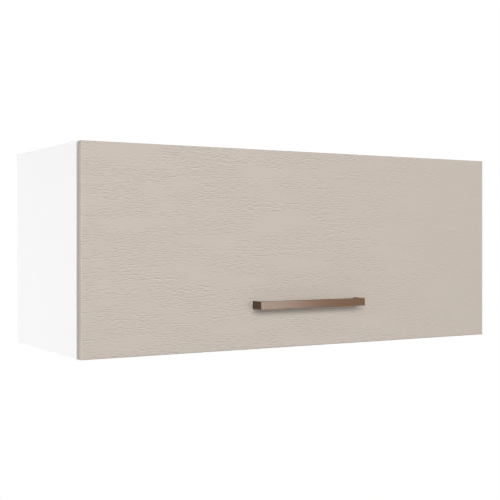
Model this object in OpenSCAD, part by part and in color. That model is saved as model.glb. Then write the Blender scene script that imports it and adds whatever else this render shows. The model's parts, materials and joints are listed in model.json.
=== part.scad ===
// Lift up wall cabinet: a shallow box with one full-overlay flap door, which swings up on two concealed
// top hinges and is carried by a spring lift unit on each side.
// X runs to the right, the front faces -Y and Z is up. The origin lies on the wall, in the middle of the
// cabinet's width and level with its underside. The door is drawn closed. Lengths are in millimetres.

/* [Carcass] */
// Width over the two sides
cab_w = 800; // [600:1:1200]
// Height of the sides
cab_h = 328; // [300:1:450]
// Depth from the wall to the front edges of the sides
cab_d = 290; // [280:1:400]
// Thickness of the sides, the top and the bottom
board_t = 16; // [15:0.5:19]
// Thickness of the plastic band on a board's edge
band_t = 1; // [0.4:0.1:2]
// Thickness of the back panel
back_t = 3; // [2.5:0.5:4]
// Space between the wall and the back panel
back_void = 18; // [16:1:24]
// Depth of the groove that holds the back panel
groove_depth = 7; // [5:0.5:8]
// Free space between the back panel and the end of its groove
groove_play = 0.5; // [0.2:0.1:0.9]

/* [Joinery] */
// Diameter of a cam lock
cam_d = 15; // [12:0.5:16]
// Height of a cam lock
cam_h = 12.5; // [11:0.5:13]
// Distance from the middle of a cam lock to the end of its board
cam_reach = 24; // [20:1:34]
// Diameter of a cam bolt's shank
bolt_d = 6; // [5:0.5:7]
// Diameter of the thread that holds a cam bolt in the side
thread_d = 5; // [4:0.5:6]
// Length of that thread
thread_len = 11; // [8:0.5:13]
// Diameter of a dowel
dowel_d = 8; // [6:1:10]
// Length of a dowel in the end of the top or bottom
dowel_len = 20; // [15:1:30]
// Length of a dowel in the side
dowel_in_side = 10; // [8:1:12]
// Distance from a board's front edge, and from the back panel, to the nearest cam bolt
bolt_inset = 37; // [25:1:50]
// Distance between a cam bolt and the dowel beside it
dowel_step = 32; // [20:1:45]
// Diameter of the caps over the cam locks inside the cabinet
cam_cap_d = 17; // [16.5:0.5:20]
// Thickness of those caps
cam_cap_t = 1; // [0.6:0.1:1.5]
// Width of the cross slots in cam locks and adjusting screws
slot_w = 1.6; // [1:0.1:2]
// Depth of the cross slots
slot_depth = 2; // [1:0.1:2.5]
// Length of a cross slot as a share of its cam's or screw's diameter
slot_share = 0.55; // [0.4:0.05:0.7]
// Bevel on pin heads, cam caps and door buffers
bevel = 0.4; // [0.2:0.1:0.5]

/* [Door] */
// Thickness of the door
door_t = 16; // [15:0.5:20]
// Gap between the closed door and the carcass, which the door buffers fill
door_gap = 2.5; // [2.4:0.1:4]
// Distance from each side of the door to the outer face of the side panel
side_reveal = 0.5; // [0:0.1:3]
// Distance from the top of the door to the top of the cabinet
top_reveal = 0.8; // [0.6:0.1:4]
// Distance from the bottom of the door to the bottom of the cabinet
bottom_reveal = 0.5; // [0:0.1:4]
// Radius of the door's front edges
front_edge_r = 2; // [0.5:0.1:3]
// Radius of the door's back edges
back_edge_r = 1.5; // [1.4:0.1:2.5]
// Diameter of a door buffer
buffer_d = 8; // [6:1:12]
// Distance from the middle of a door buffer to the inner face of the side panel
buffer_inset = 14; // [10:1:40]

/* [Handle] */
// Length of the handle over its legs
handle_len = 208; // [120:1:400]
// Height of the handle's bar
handle_h = 13; // [10:0.5:20]
// Thickness of the bar and of its legs
handle_t = 5.5; // [5:0.5:8]
// Distance from the door to the front of the bar
handle_reach = 26; // [20:1:40]
// Radius of the handle's outer corners and long edges
handle_edge_r = 0.6; // [0.3:0.1:1.5]
// Radius inside the corner between bar and leg
handle_inner_r = 2; // [0.5:0.5:4]
// Height of the handle's middle above the door's lower edge
handle_up = 72.5; // [30:0.5:120]
// Diameter of the handle screws
handle_screw_d = 4; // [3:0.5:4]
// Length of a handle screw in the leg
handle_screw_grip = 9; // [6:0.5:12]

/* [Hinges] */
// Distance from the middle of each hinge to the outer face of the side panel
hinge_inset = 110; // [90:1:200]
// Diameter of the hinge cup
cup_d = 35; // [32:0.5:38]
// Wood left between the cup and the door's top edge
cup_edge = 3; // [2.5:0.1:3.2]
// Depth of the hinge cup in the door
cup_depth = 12.4; // [12.2:0.1:13]
// Thickness of the cup's wall and floor
cup_wall = 0.8; // [0.5:0.1:0.9]
// Thickness of the flange on the back of the door
flange_t = 1.2; // [0.8:0.1:1.4]
// Radius of the flange round the cup
flange_r = 19; // [18:0.5:22]
// Distance between the two screws of the cup
cup_screw_step = 48; // [44:1:56]
// Distance from the cup's middle down to its screws
cup_screw_drop = 6; // [0:0.5:9]
// Distance from the door's top edge down to the hinge pin
pin_drop = 7.5; // [7:0.1:7.6]
// Distance from the back of the door to the hinge pin
pin_depth = 8.5; // [8.4:0.1:8.8]
// Diameter of the hinge pin
pin_d = 3; // [2.5:0.1:3.4]
// Width of the hinge arm where it dips into the cup
arm_w = 8; // [6:0.5:9]
// Radius of the arm round the hinge pin
arm_tip_r = 2.7; // [2.3:0.1:2.8]
// Depth of the arm under the cup's mouth
arm_h = 5.5; // [4:0.5:7]
// Width of the arm's channel on its plate
channel_w = 16; // [13:0.5:20]
// Thickness of the channel's walls
channel_t = 2; // [1.5:0.1:2.5]
// Distance from the carcass front to the mounting plate
plate_inset = 12; // [10:0.5:14]
// Length of the mounting plate
plate_len = 48; // [46:1:60]
// Length of that plate behind the arm
plate_tail = 3; // [2:0.5:5]
// Thickness of the mounting plate's base
plate_t = 2.5; // [2:0.1:3]
// Distance from the carcass front to the screws of the mounting plate
plate_screw_inset = 37; // [32:1:40]
// Distance between those two screws
plate_screw_step = 32; // [28:1:40]
// Radius of the mounting plate round its screws
wing_r = 6.5; // [5.5:0.5:8]
// Radius of the cup's flange round its screws
lug_r = 7; // [6:0.5:8]
// Distance from the rear end of the plate to the screw of the arm
arm_screw_inset = 10; // [8:0.5:12]
// Distance from the front end of the plate to the adjusting screw of the arm
arm_adjuster_inset = 12; // [10:0.5:14]
// Length of both screws in the plate
arm_screw_grip = 4; // [3:0.5:5]
// Metal round the hinge pin in the cup's cheeks
cheek_wall = 1.5; // [1:0.1:2]

/* [Lift units] */
// Distance from the hinge pin down to the pivot on the door
pivot_drop = 100; // [80:1:120]
// Distance from the back of the door to the pivot
pivot_reach = 12; // [11:0.5:15]
// Distance from the hinge pin back to the lever's axle
axle_back = 130; // [120:1:140]
// Distance from the hinge pin down to the lever's axle
axle_drop = 25; // [24:1:30]
// Thickness of the housing, from the side panel to the cap's inner face
housing_t = 14; // [13:0.5:20]
// Thickness of the housing's floor against the side panel
housing_floor = 3; // [2:0.5:4]
// Distance from the top panel down to the housing
housing_drop = 3; // [2:0.5:6]
// Length of the housing
housing_len = 108; // [90:1:120]
// Height of the housing
housing_h = 52; // [48:1:60]
// Radius of the housing's corners
housing_r = 8; // [4:1:12]
// Distance from the front of the housing to the lever's axle
housing_nose = 26; // [24:1:30]
// Distance from the housing's edges to its screws
lift_screw_inset = 9; // [8:0.5:11]
// Thickness of the cap over the housing
cap_t = 1.6; // [1:0.1:2.5]
// Length of the cap's skirt over the housing
cap_skirt = 10; // [6:0.5:12]
// Distance from the housing's edge to the line engraved round the cap's face
cap_line_inset = 2; // [1.5:0.1:2.5]
// Width and depth of that line
cap_line = 0.7; // [0.4:0.1:0.9]
// Diameter of the screw that sets the spring
force_screw_d = 7; // [5:0.5:9]
// Distance from the rear of the housing to that screw
force_screw_inset = 32; // [24:1:36]
// Diameter of the lever's axle
axle_d = 8; // [6:0.5:10]
// Diameter of the axle's head
axle_head_d = 14; // [11:0.5:16]
// Diameter of the lever's hub
hub_d = 18; // [16:0.5:20]
// Thickness of the torsion spring's coil, from inside to outside
spring_coil = 3.5; // [2:0.5:4]
// Space between the spring and the cap
spring_gap = 1; // [0.5:0.5:3]
// Thickness of lever and link
lever_t = 3; // [2:0.5:4]
// Radius of the lever round its axle
lever_r = 14; // [13:0.5:16]
// Radius of the lever and the link round the elbow pin
elbow_r = 9; // [7.5:0.5:11]
// Radius of the link round the door pivot
eye_r = 8; // [7:0.5:10]
// Distance that the round ends of a bar stand out from its straight sides
eye_step = 0.5; // [0.3:0.1:1]
// Width of the flute pressed into lever and link
flute_w = 5; // [3:0.5:6]
// Depth of the flute
flute_depth = 0.6; // [0.3:0.1:1]
// Distance from the flute to the round ends of the bar
flute_gap = 4; // [2:0.5:8]
// Diameter of the elbow pin and of the pin in the door bracket
link_pin_d = 6; // [4:0.5:7]
// Diameter of the heads of these pins
link_pin_head_d = 10; // [8:0.5:12]
// Thickness of these heads
link_pin_head_t = 1.5; // [1:0.1:2]
// Thickness of the door bracket's plate
bracket_t = 2; // [1.5:0.1:2.5]
// Width of the door bracket's plate
bracket_w = 28; // [24:1:32]
// Height of the door bracket's plate
bracket_h = 48; // [44:1:60]
// Radius of the plate's corners
bracket_r = 4; // [1:0.5:6]
// Distance between the two screws of the door bracket
bracket_screw_step = 34; // [32:1:44]

/* [Hangers] */
// Thickness of a hanger's housing
hanger_t = 18; // [16:0.5:24]
// Width of a hanger's housing, from front to back
hanger_w = 42; // [36:1:50]
// Height of a hanger's housing
hanger_h = 60; // [50:1:70]
// Distance from the top panel down to the hanger
hanger_drop = 4; // [3:0.5:8]
// Thickness of a hanger's cap
hanger_cap_t = 1.2; // [0.8:0.1:2]
// Radius of the cap's corner
hanger_cap_r = 2.5; // [1:0.5:3]
// Diameter of the pegs that hold a hanger in the side
peg_d = 10; // [8:0.5:12]
// Length of those pegs
peg_len = 10; // [8:0.5:11]
// Thickness of the steel hook
hook_t = 2.5; // [2:0.5:4]
// Height of the hook's bar
hook_h = 12; // [10:0.5:16]
// Length of the hook's tip behind the wall plate's lip
hook_tip = 10; // [6:0.5:12]
// Distance from the side panel to the hook
hook_inset = 5; // [4:0.5:6]
// Distance from the top of the hanger down to its hook
hook_drop = 8; // [6:0.5:12]
// Space round the hook in the slot of the back panel, for its adjustment
slot_play = 4; // [3:0.5:5]
// Diameter of the hanger's adjusting screws
adjuster_d = 6; // [5:0.5:7]
// Length of those screws in the hanger
adjuster_len = 24; // [15:1:30]
// Distance from the hanger's top and bottom to those screws
adjuster_inset = 18; // [14:0.5:22]

/* [Wall plates] */
// Width of a wall plate
wall_plate_w = 48; // [40:1:70]
// Distance from the side panel to a wall plate
wall_plate_gap = 2; // [1:0.5:6]
// Thickness of a wall plate
wall_plate_t = 2.5; // [2:0.1:3]
// Distance from the wall to the front of the plate's lip
lip_reach = 10; // [8:0.5:12]
// Height of the lip
lip_h = 26; // [20:1:30]
// Height of the plate's foot, where it is screwed to the wall
foot_h = 34; // [28:1:45]
// Distance between the two screw holes
wall_hole_step = 26; // [20:1:40]
// Diameter of the screw holes
wall_hole_d = 6.5; // [5:0.5:8]

/* [Wood screws] */
// Diameter of the wood screws
screw_d = 3.5; // [3:0.1:4]
// Length of a wood screw in the board
screw_len = 11.5; // [9:0.5:12]
// Diameter of their heads
screw_head_d = 7; // [6:0.5:7.5]
// Thickness of their heads
screw_head_t = 1.8; // [1.2:0.1:2]

/* [Clearances] */
// Space round a pin or hub that turns
running_fit = 0.05; // [0.02:0.01:0.1]
// Space round a piece that sits still in its hole
seat_fit = 0.05; // [0.02:0.01:0.1]
// Space between flat pieces that slide past each other
slide_gap = 0.4; // [0.3:0.05:0.6]
// Space round a screw in the hole that it passes through
screw_play = 0.2; // [0.1:0.05:0.4]
// Space round the link's eye on the pin of the door bracket
eye_fit = 0.1; // [0.05:0.01:0.2]

/* [Hidden] */
$fn = 64;

// Extra length of a cutter past the face that it cuts
past = 1;

white = [0.95, 0.95, 0.94];
band_white = [0.93, 0.93, 0.92];
beech = [0.72, 0.60, 0.44];
beige = [0.78, 0.75, 0.70];
bronze = [0.50, 0.38, 0.31];
nickel = [0.72, 0.72, 0.72];
zinc = [0.80, 0.80, 0.78];
plastic_grey = [0.62, 0.63, 0.64];
spring_steel = [0.35, 0.36, 0.38];
clear_rubber = [0.86, 0.87, 0.86];

// Carcass planes
side_x = cab_w / 2 - board_t;
front_y = -cab_d;
board_front_y = front_y + band_t;
back_y = -back_void;
back_front_y = back_y - back_t;
ceiling_z = cab_h - board_t;

// Door planes
door_w = cab_w - 2 * side_reveal;
door_top_z = cab_h - top_reveal;
door_h = door_top_z - bottom_reveal;
door_back_y = front_y - door_gap;
door_front_y = door_back_y - door_t;
handle_leg_x = (handle_len - handle_t) / 2;
handle_z = bottom_reveal + handle_up;

// Hinge axis, cup and arm
hinge_x = cab_w / 2 - hinge_inset;
pin_y = door_back_y - pin_depth;
pin_z = door_top_z - pin_drop;
cup_z = door_top_z - cup_edge - cup_d / 2;
cup_outer_r = cup_d / 2 - seat_fit;
cup_inner_r = cup_outer_r - cup_wall;
cup_floor_y = door_back_y - cup_depth;
cup_screw_z = cup_z - cup_screw_drop;
flange_top_z = pin_z + arm_tip_r + cup_wall;
// The hinge pin ends within the cup's wall
pin_len = 2 * sqrt(pow(cup_outer_r - cup_wall / 2, 2) - pow(pin_z + pin_d / 2 - cup_z, 2));
// The open door lies this far below the hinge axis, so the arm runs below that
arm_top_z = pin_z - pin_depth - flange_t - 2 * slide_gap;
arm_low_z = arm_top_z - arm_h;
ridge_low_z = arm_low_z + channel_t;
ridge_w = channel_w - 2 * channel_t - slide_gap;
plate_front_y = front_y + plate_inset;
plate_screw_y = front_y + plate_screw_inset;
channel_y1 = plate_front_y + plate_len - plate_tail;
arm_screw_ys = [plate_front_y + arm_adjuster_inset, plate_front_y + plate_len - arm_screw_inset];
pilot_d = screw_d + 2 * seat_fit;

// Lift unit: the hinge pin, the axle, the elbow and the door pivot are the corners of a parallelogram,
// so the lever turns with the door and the link keeps its direction.
pivot_y = door_back_y + pivot_reach;
pivot_z = pin_z - pivot_drop;
axle_y = pin_y + axle_back;
axle_z = pin_z - axle_drop;
elbow_y = axle_y + pivot_y - pin_y;
elbow_z = axle_z - pivot_drop;
housing_y0 = axle_y - housing_nose;
housing_z1 = ceiling_z - housing_drop;
housing_z0 = housing_z1 - housing_h;
housing_x = side_x - housing_t;
cap_x = housing_x - cap_t;
lever_x = cap_x - slide_gap - lever_t;
link_x = lever_x - slide_gap - lever_t;
link_mid_x = link_x + lever_t / 2;
pocket_end_x = side_x - housing_floor;
coil_x = housing_x + spring_gap;
force_screw_y = housing_y0 + housing_len - force_screw_inset;
force_screw_z = housing_z0 + housing_h / 2;
spring_in_d = hub_d + 2 * slide_gap;
spring_d = spring_in_d + 2 * spring_coil;
lift_screw_spots = [
    [housing_y0 + lift_screw_inset, housing_z0 + lift_screw_inset],
    [housing_y0 + housing_len - lift_screw_inset, housing_z0 + lift_screw_inset],
    [housing_y0 + housing_len - lift_screw_inset, housing_z1 - lift_screw_inset]
];
// The door bracket's two ears, outside to outside
clevis_x = link_x - slide_gap - bracket_t;
clevis_w = lever_t + 2 * slide_gap + 2 * bracket_t;

// Hangers and wall plates
hanger_y0 = back_front_y - hanger_w;
hanger_z1 = ceiling_z - hanger_drop;
hanger_z0 = hanger_z1 - hanger_h;
hanger_x = side_x - hanger_t;
hanger_mid_y = hanger_y0 + hanger_w / 2;
peg_zs = [hanger_z0 + peg_d, hanger_z1 - peg_d];
adjuster_zs = [hanger_z0 + adjuster_inset, hanger_z1 - adjuster_inset];
hook_x = side_x - hook_inset - hook_t;
hook_z1 = hanger_z1 - hook_drop;
hook_z0 = hook_z1 - hook_h;
hook_start_y = hanger_y0 + hanger_w / 4;
// The hook's tip takes the middle half of the space behind the lip
hook_end_y = -(lip_reach - wall_plate_t) / 4;
tip_front_y = -(lip_reach - wall_plate_t) * 3 / 4;
adjuster_x = (hanger_x + hook_x) / 2;
wall_plate_x1 = side_x - wall_plate_gap;
wall_plate_x0 = wall_plate_x1 - wall_plate_w;
wall_plate_mid_x = (wall_plate_x0 + wall_plate_x1) / 2;
lip_top_z = hook_z0;
web_z1 = lip_top_z - lip_h;
wall_hole_z = web_z1 - wall_plate_t - foot_h / 2;

// Places of the cam bolts and dowels along the depth
bolt_ys = [front_y + bolt_inset, back_front_y - bolt_inset];
dowel_ys = [front_y + bolt_inset + dowel_step, back_front_y - bolt_inset - dowel_step];
// Middle height of the bottom and top panels
panel_zs = [board_t / 2, cab_h - board_t / 2];

// ---- Helpers ----

// Draws its children and their mirror image on the left
module both_sides() {
    children();
    mirror([1, 0, 0]) children();
}

// Draws its children as they are on the right, or mirrored on the left
module on_side(side) {
    if (side == "left") mirror([1, 0, 0]) children();
    else children();
}

// Box from its lowest to its highest corner
module block(low, high) {
    translate(low) cube(high - low);
}

// Extrudes an outline given in [y, z] along X, from x0 for a length of t
module plate_yz(x0, t) {
    translate([x0, 0, 0]) rotate([90, 0, 90]) linear_extrude(t) children();
}

// Cylinder along X from [x, y, z]
module rod_x(start, d, len) {
    translate(start) rotate([0, 90, 0]) cylinder(d = d, h = len);
}

// Cylinder from [x, y, z] towards the front
module rod_front(start, d, len) {
    translate(start) rotate([90, 0, 0]) cylinder(d = d, h = len);
}

// Cylinder from [x, y, z] upwards
module rod_up(start, d, len) {
    translate(start) cylinder(d = d, h = len);
}

// Disc standing on the origin, its upper edge bevelled
module bevelled_disc(d, h) {
    cylinder(d = d, h = h - bevel);
    translate([0, 0, h - bevel]) cylinder(d1 = d, d2 = d - 2 * bevel, h = bevel);
}

// Pin head from [x, y, z] towards -X or +X, for a side of -1 or 1
module pin_head(start, d, side) {
    translate(start) rotate([0, side * 90, 0]) bevelled_disc(d, link_pin_head_t);
}

// Cutter for the cross slot of a screw or cam of diameter d, whose face lies at the origin and looks up
module cross_slot(d) {
    for (turn = [0, 90]) rotate(turn)
        translate([-d * slot_share / 2, -slot_w / 2, -slot_depth])
        cube([d * slot_share, slot_w, slot_depth + past]);
}

// What a rounding of radius r takes off the corner at the origin of the first quadrant
module corner_waste(r) {
    difference() {
        translate([-past, -past]) square(r + past);
        translate([r, r]) circle(r);
    }
}

// Rectangle [w, h] from the origin, its low corners in Y rounded by r0 and its high ones by r1
module rounded_box(w, h, r0, r1) {
    difference() {
        square([w, h]);
        corner_waste(r0);
        translate([w, 0]) mirror([1, 0]) corner_waste(r0);
        translate([0, h]) mirror([0, 1]) corner_waste(r1);
        translate([w, h]) rotate(180) corner_waste(r1);
    }
}

// Bar with round ends of radius r0 at [0, 0] and r1 at [len, 0]
module tapered_bar(len, r0, r1) {
    lean = acos((r0 - r1) / len);
    side0 = r0 - eye_step;
    side1 = r1 - eye_step;
    circle(r0);
    translate([len, 0]) circle(r1);
    polygon([
        side0 * [cos(lean), -sin(lean)],
        [len, 0] + side1 * [cos(lean), -sin(lean)],
        [len, 0] + side1 * [cos(lean), sin(lean)],
        side0 * [cos(lean), sin(lean)]
    ]);
}

// Bar between two points given in [y, z]
module bar_between(from, to, r0, r1) {
    run = to - from;
    translate(from) rotate(atan2(run[1], run[0])) tapered_bar(norm(run), r0, r1);
}

// Flute in [y, z] along the middle of such a bar
module flute_between(from, to, r0, r1) {
    run = to - from;
    translate(from) rotate(atan2(run[1], run[0]))
        translate([r0 + flute_gap, -flute_w / 2]) square([norm(run) - r0 - r1 - 2 * flute_gap, flute_w]);
}

// Screw pointing up: its head lies below the origin and its shank above
module screw(d, len, head_d, head_t) {
    translate([0, 0, -head_t]) cylinder(d = head_d, h = head_t);
    translate([0, 0, -head_t / 2]) cylinder(d = d, h = len + head_t / 2);
}

module wood_screw() {
    screw(screw_d, screw_len, screw_head_d, screw_head_t);
}

// ---- Carcass ----

module side_panel() {
    difference() {
        block([side_x, board_front_y, band_t], [cab_w / 2, 0, cab_h]);
        block([side_x - past, back_front_y, board_t - groove_depth],
              [side_x + groove_depth, back_y, ceiling_z + groove_depth]);
        for (z = panel_zs) {
            for (y = bolt_ys) rod_x([side_x - past, y, z], thread_d + 2 * seat_fit, past + thread_len);
            for (y = dowel_ys) rod_x([side_x - past, y, z], dowel_d + 2 * seat_fit, past + dowel_in_side);
        }
        for (z = peg_zs)
            rod_x([side_x - past, hanger_mid_y, z], peg_d + 2 * seat_fit, past + peg_len);
        for (spot = lift_screw_spots)
            rod_x([side_x - past, spot[0], spot[1]], pilot_d, past + screw_len - housing_floor);
    }
}

// Top or bottom panel from z0 up: pockets is the height at which its cam pockets start, and grooves is
// the height of its groove's lower edge
module level_panel(z0, pockets, grooves) {
    z = z0 + board_t / 2;
    difference() {
        block([-side_x, board_front_y, z0], [side_x, 0, z0 + board_t]);
        block([-side_x - past, back_front_y, grooves],
              [side_x + past, back_y, grooves + groove_depth + past]);
        both_sides() {
            for (y = bolt_ys) {
                rod_up([side_x - cam_reach, y, pockets], cam_d + 2 * seat_fit, cam_h + past);
                rod_x([side_x - cam_reach, y, z], bolt_d + 2 * screw_play, cam_reach + past);
            }
            for (y = dowel_ys)
                rod_x([side_x - dowel_len, y, z], dowel_d + 2 * seat_fit, dowel_len + past);
        }
    }
}

module top_panel() {
    color(white)
    difference() {
        level_panel(ceiling_z, cab_h - cam_h, ceiling_z - past);
        both_sides() for (step = [-1, 1])
            rod_up([hinge_x + step * plate_screw_step / 2, plate_screw_y, ceiling_z - past],
                   pilot_d, past + screw_len - plate_t);
    }
}

module bottom_panel() {
    color(white) level_panel(0, board_t - cam_h, board_t - groove_depth);
}

module left_side_panel() {
    color(white) on_side("left") side_panel();
}

module right_side_panel() {
    color(white) on_side("right") side_panel();
}

// Sits on the floor of the bottom panel's groove, with play at its other edges
module back_panel() {
    edge_x = side_x + groove_depth - groove_play;
    color(white)
    difference() {
        block([-edge_x, back_front_y, board_t - groove_depth],
              [edge_x, back_y, ceiling_z + groove_depth - groove_play]);
        both_sides()
            block([hook_x - slot_play, back_front_y - past, hook_z0 - slot_play],
                  [hook_x + hook_t + slot_play, back_y + past, hook_z1 + slot_play]);
    }
}

// One strip along each front edge and under each side
module edge_bands() {
    strip_x = side_x - seat_fit;
    color(band_white) {
        both_sides() {
            block([side_x, front_y, 0], [cab_w / 2, board_front_y, cab_h]);
            block([side_x, board_front_y + seat_fit, 0], [cab_w / 2, 0, band_t]);
        }
        for (z = [0, ceiling_z])
            block([-strip_x, front_y, z], [strip_x, board_front_y, z + board_t]);
    }
}

// ---- Joinery ----

// Cam lock standing from z0, with the mouth that catches the bolt's head at height z
module cam_lock(y, z0, z) {
    difference() {
        rod_up([side_x - cam_reach, y, z0], cam_d, cam_h);
        rod_x([side_x - cam_reach - bolt_d / 2 - screw_play, y, z], bolt_d + 2 * screw_play, cam_d);
        translate([side_x - cam_reach, y, z0 + cam_h]) cross_slot(cam_d);
    }
}

module cam_locks() {
    color(zinc) both_sides() for (y = bolt_ys) {
        cam_lock(y, board_t - cam_h, panel_zs[0]);
        cam_lock(y, cab_h - cam_h, panel_zs[1]);
    }
}

module cam_bolts() {
    color(nickel) both_sides() for (y = bolt_ys) for (z = panel_zs) {
        rod_x([side_x - cam_reach - bolt_d / 2, y, z], bolt_d, cam_reach + bolt_d / 2);
        rod_x([side_x - past, y, z], thread_d, past + thread_len);
    }
}

module dowels() {
    color(beech) both_sides() for (y = dowel_ys) for (z = panel_zs)
        rod_x([side_x - dowel_len, y, z], dowel_d, dowel_len + dowel_in_side);
}

module cam_caps() {
    color(white) both_sides() for (y = bolt_ys)
        translate([side_x - cam_reach, y, board_t]) bevelled_disc(cam_cap_d, cam_cap_t);
}

// ---- Door ----

// Blank with its front and back edges rounded on all four sides
module door_blank() {
    intersection() {
        translate([-door_w / 2, door_front_y, bottom_reveal])
            linear_extrude(door_h) rounded_box(door_w, door_t, front_edge_r, back_edge_r);
        translate([-door_w / 2, door_front_y, bottom_reveal]) rotate([90, 0, 90])
            linear_extrude(door_w) rotate(90) mirror([0, 1])
            rounded_box(door_h, door_t, front_edge_r, back_edge_r);
    }
}

module door_panel() {
    color(beige)
    difference() {
        door_blank();
        both_sides() {
            rod_front([hinge_x, door_back_y + past, cup_z], cup_d, past + cup_depth);
            for (step = [-1, 1])
                rod_front([hinge_x + step * cup_screw_step / 2, door_back_y + past, cup_screw_z],
                          pilot_d, past + screw_len - flange_t);
            for (step = [-1, 1])
                rod_front([link_mid_x, door_back_y + past, pivot_z + step * bracket_screw_step / 2],
                          pilot_d, past + screw_len - bracket_t);
            rod_front([handle_leg_x, door_back_y + past, handle_z],
                      handle_screw_d + 2 * screw_play, door_t + 2 * past);
        }
    }
}

module door_buffers() {
    color(clear_rubber) both_sides()
        translate([side_x - buffer_inset, front_y, board_t / 2]) rotate([90, 0, 0])
        bevelled_disc(buffer_d, door_gap);
}

// ---- Handle ----

module handle() {
    color(bronze)
    difference() {
        intersection() {
            // Seen from above: a bar with a leg at each end
            translate([-handle_len / 2, door_front_y - handle_reach, handle_z - handle_h / 2])
                linear_extrude(handle_h)
                difference() {
                    rounded_box(handle_len, handle_reach, handle_edge_r, 0);
                    translate([handle_t, handle_t])
                        rounded_box(handle_len - 2 * handle_t, handle_reach, handle_inner_r, 0);
                }
            // Seen from the front: its long edges are eased
            translate([-handle_len / 2, door_front_y, handle_z - handle_h / 2])
                rotate([90, 0, 0]) linear_extrude(handle_reach)
                rounded_box(handle_len, handle_h, handle_edge_r, handle_edge_r);
        }
        both_sides()
            rod_front([handle_leg_x, door_front_y + past, handle_z],
                      handle_screw_d + 2 * seat_fit, past + handle_screw_grip);
    }
}

module handle_screws() {
    color(nickel) both_sides()
        translate([handle_leg_x, door_back_y, handle_z]) rotate([90, 0, 0])
        screw(handle_screw_d, door_t + handle_screw_grip, 2 * handle_screw_d, handle_screw_d / 2);
}

// ---- Hinges ----

// Cup with its flange and the two cheeks that hold the pin
module hinge_cup() {
    difference() {
        union() {
            rod_front([hinge_x, door_back_y, cup_z], 2 * cup_outer_r, cup_depth);
            // Flange, cut level above the cup so that it clears the carcass as the door swings
            intersection() {
                translate([hinge_x, door_back_y + flange_t, 0]) rotate([90, 0, 0]) linear_extrude(flange_t)
                    union() {
                        translate([0, cup_z]) circle(flange_r);
                        translate([-cup_screw_step / 2, cup_screw_z])
                            tapered_bar(cup_screw_step, lug_r, lug_r);
                    }
                block([hinge_x - cup_screw_step, door_back_y - past, cup_z - cup_d],
                      [hinge_x + cup_screw_step, door_back_y + flange_t + past, flange_top_z]);
            }
        }
        difference() {
            rod_front([hinge_x, door_back_y + flange_t + past, cup_z],
                      2 * cup_inner_r, flange_t + past + cup_depth - cup_wall);
            hinge_cheeks();
        }
        rod_x([hinge_x - pin_len / 2, pin_y, pin_z], pin_d + 2 * seat_fit, pin_len);
        for (step = [-1, 1])
            rod_front([hinge_x + step * cup_screw_step / 2, door_back_y + flange_t + past, cup_screw_z],
                      screw_d + 2 * screw_play, flange_t + 2 * past);
    }
}

// Cheeks on both sides of the arm, from the cup's floor to just behind the pin
module hinge_cheeks() {
    cheek_r = pin_d / 2 + cheek_wall;
    for (side = [-1, 1]) {
        x0 = hinge_x + side * (arm_w / 2 + slide_gap);
        x1 = hinge_x + side * (pin_len / 2 + cup_wall);
        plate_yz(min(x0, x1), abs(x1 - x0)) {
            translate([pin_y, pin_z]) circle(cheek_r);
            translate([cup_floor_y, pin_z - cheek_r]) square([pin_y - cup_floor_y, 2 * cheek_r]);
        }
    }
}

module left_hinge_cup() {
    color(nickel) on_side("left") hinge_cup();
}

module right_hinge_cup() {
    color(nickel) on_side("right") hinge_cup();
}

// Gooseneck arm: a channel over the plate's ridge, then a narrow neck that dips into the cup
module hinge_arm() {
    difference() {
        union() {
            block([hinge_x - channel_w / 2, plate_front_y, arm_low_z],
                  [hinge_x + channel_w / 2, channel_y1, arm_top_z]);
            plate_yz(hinge_x - arm_w / 2, arm_w) {
                translate([pin_y - arm_tip_r, arm_low_z])
                    square([plate_front_y + past - pin_y + arm_tip_r, arm_h]);
                translate([pin_y - arm_tip_r, arm_low_z])
                    square([2 * arm_tip_r, pin_z - arm_low_z]);
                translate([pin_y, pin_z]) circle(arm_tip_r);
            }
        }
        block([hinge_x - channel_w / 2 + channel_t, plate_front_y + channel_t, ridge_low_z],
              [hinge_x + channel_w / 2 - channel_t, channel_y1 + past, arm_top_z + past]);
        rod_x([hinge_x - arm_w, pin_y, pin_z], pin_d + 2 * running_fit, 2 * arm_w);
        for (y = arm_screw_ys)
            rod_up([hinge_x, y, arm_low_z - past], screw_d + 2 * screw_play, 2 * past + channel_t);
    }
}

module left_hinge_arm() {
    color(nickel) on_side("left") hinge_arm();
}

module right_hinge_arm() {
    color(nickel) on_side("right") hinge_arm();
}

// Mounting plate: two wings with screws, and the ridge that the arm slides over
module hinge_plate() {
    ridge_y0 = plate_front_y + channel_t + slide_gap;
    ridge_len = plate_len - 2 * channel_t - slide_gap;
    difference() {
        union() {
            translate([hinge_x, 0, ceiling_z - plate_t]) linear_extrude(plate_t) {
                translate([-ridge_w / 2, plate_front_y]) square([ridge_w, plate_len]);
                translate([-plate_screw_step / 2, plate_screw_y])
                    tapered_bar(plate_screw_step, wing_r, wing_r);
            }
            block([hinge_x - ridge_w / 2, ridge_y0, ridge_low_z],
                  [hinge_x + ridge_w / 2, ridge_y0 + ridge_len, ceiling_z - plate_t / 2]);
        }
        for (step = [-1, 1])
            rod_up([hinge_x + step * plate_screw_step / 2, plate_screw_y, ceiling_z - plate_t - past],
                   screw_d + 2 * screw_play, plate_t + 2 * past);
        for (y = arm_screw_ys)
            rod_up([hinge_x, y, ridge_low_z - past], pilot_d, past + arm_screw_grip);
    }
}

module left_hinge_plate() {
    color(nickel) on_side("left") hinge_plate();
}

module right_hinge_plate() {
    color(nickel) on_side("right") hinge_plate();
}

module hinge_pins() {
    color(zinc) both_sides() rod_x([hinge_x - pin_len / 2, pin_y, pin_z], pin_d, pin_len);
}

module hinge_cup_screws() {
    color(zinc) both_sides() for (step = [-1, 1])
        translate([hinge_x + step * cup_screw_step / 2, door_back_y + flange_t, cup_screw_z])
            rotate([90, 0, 0]) wood_screw();
}

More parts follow.
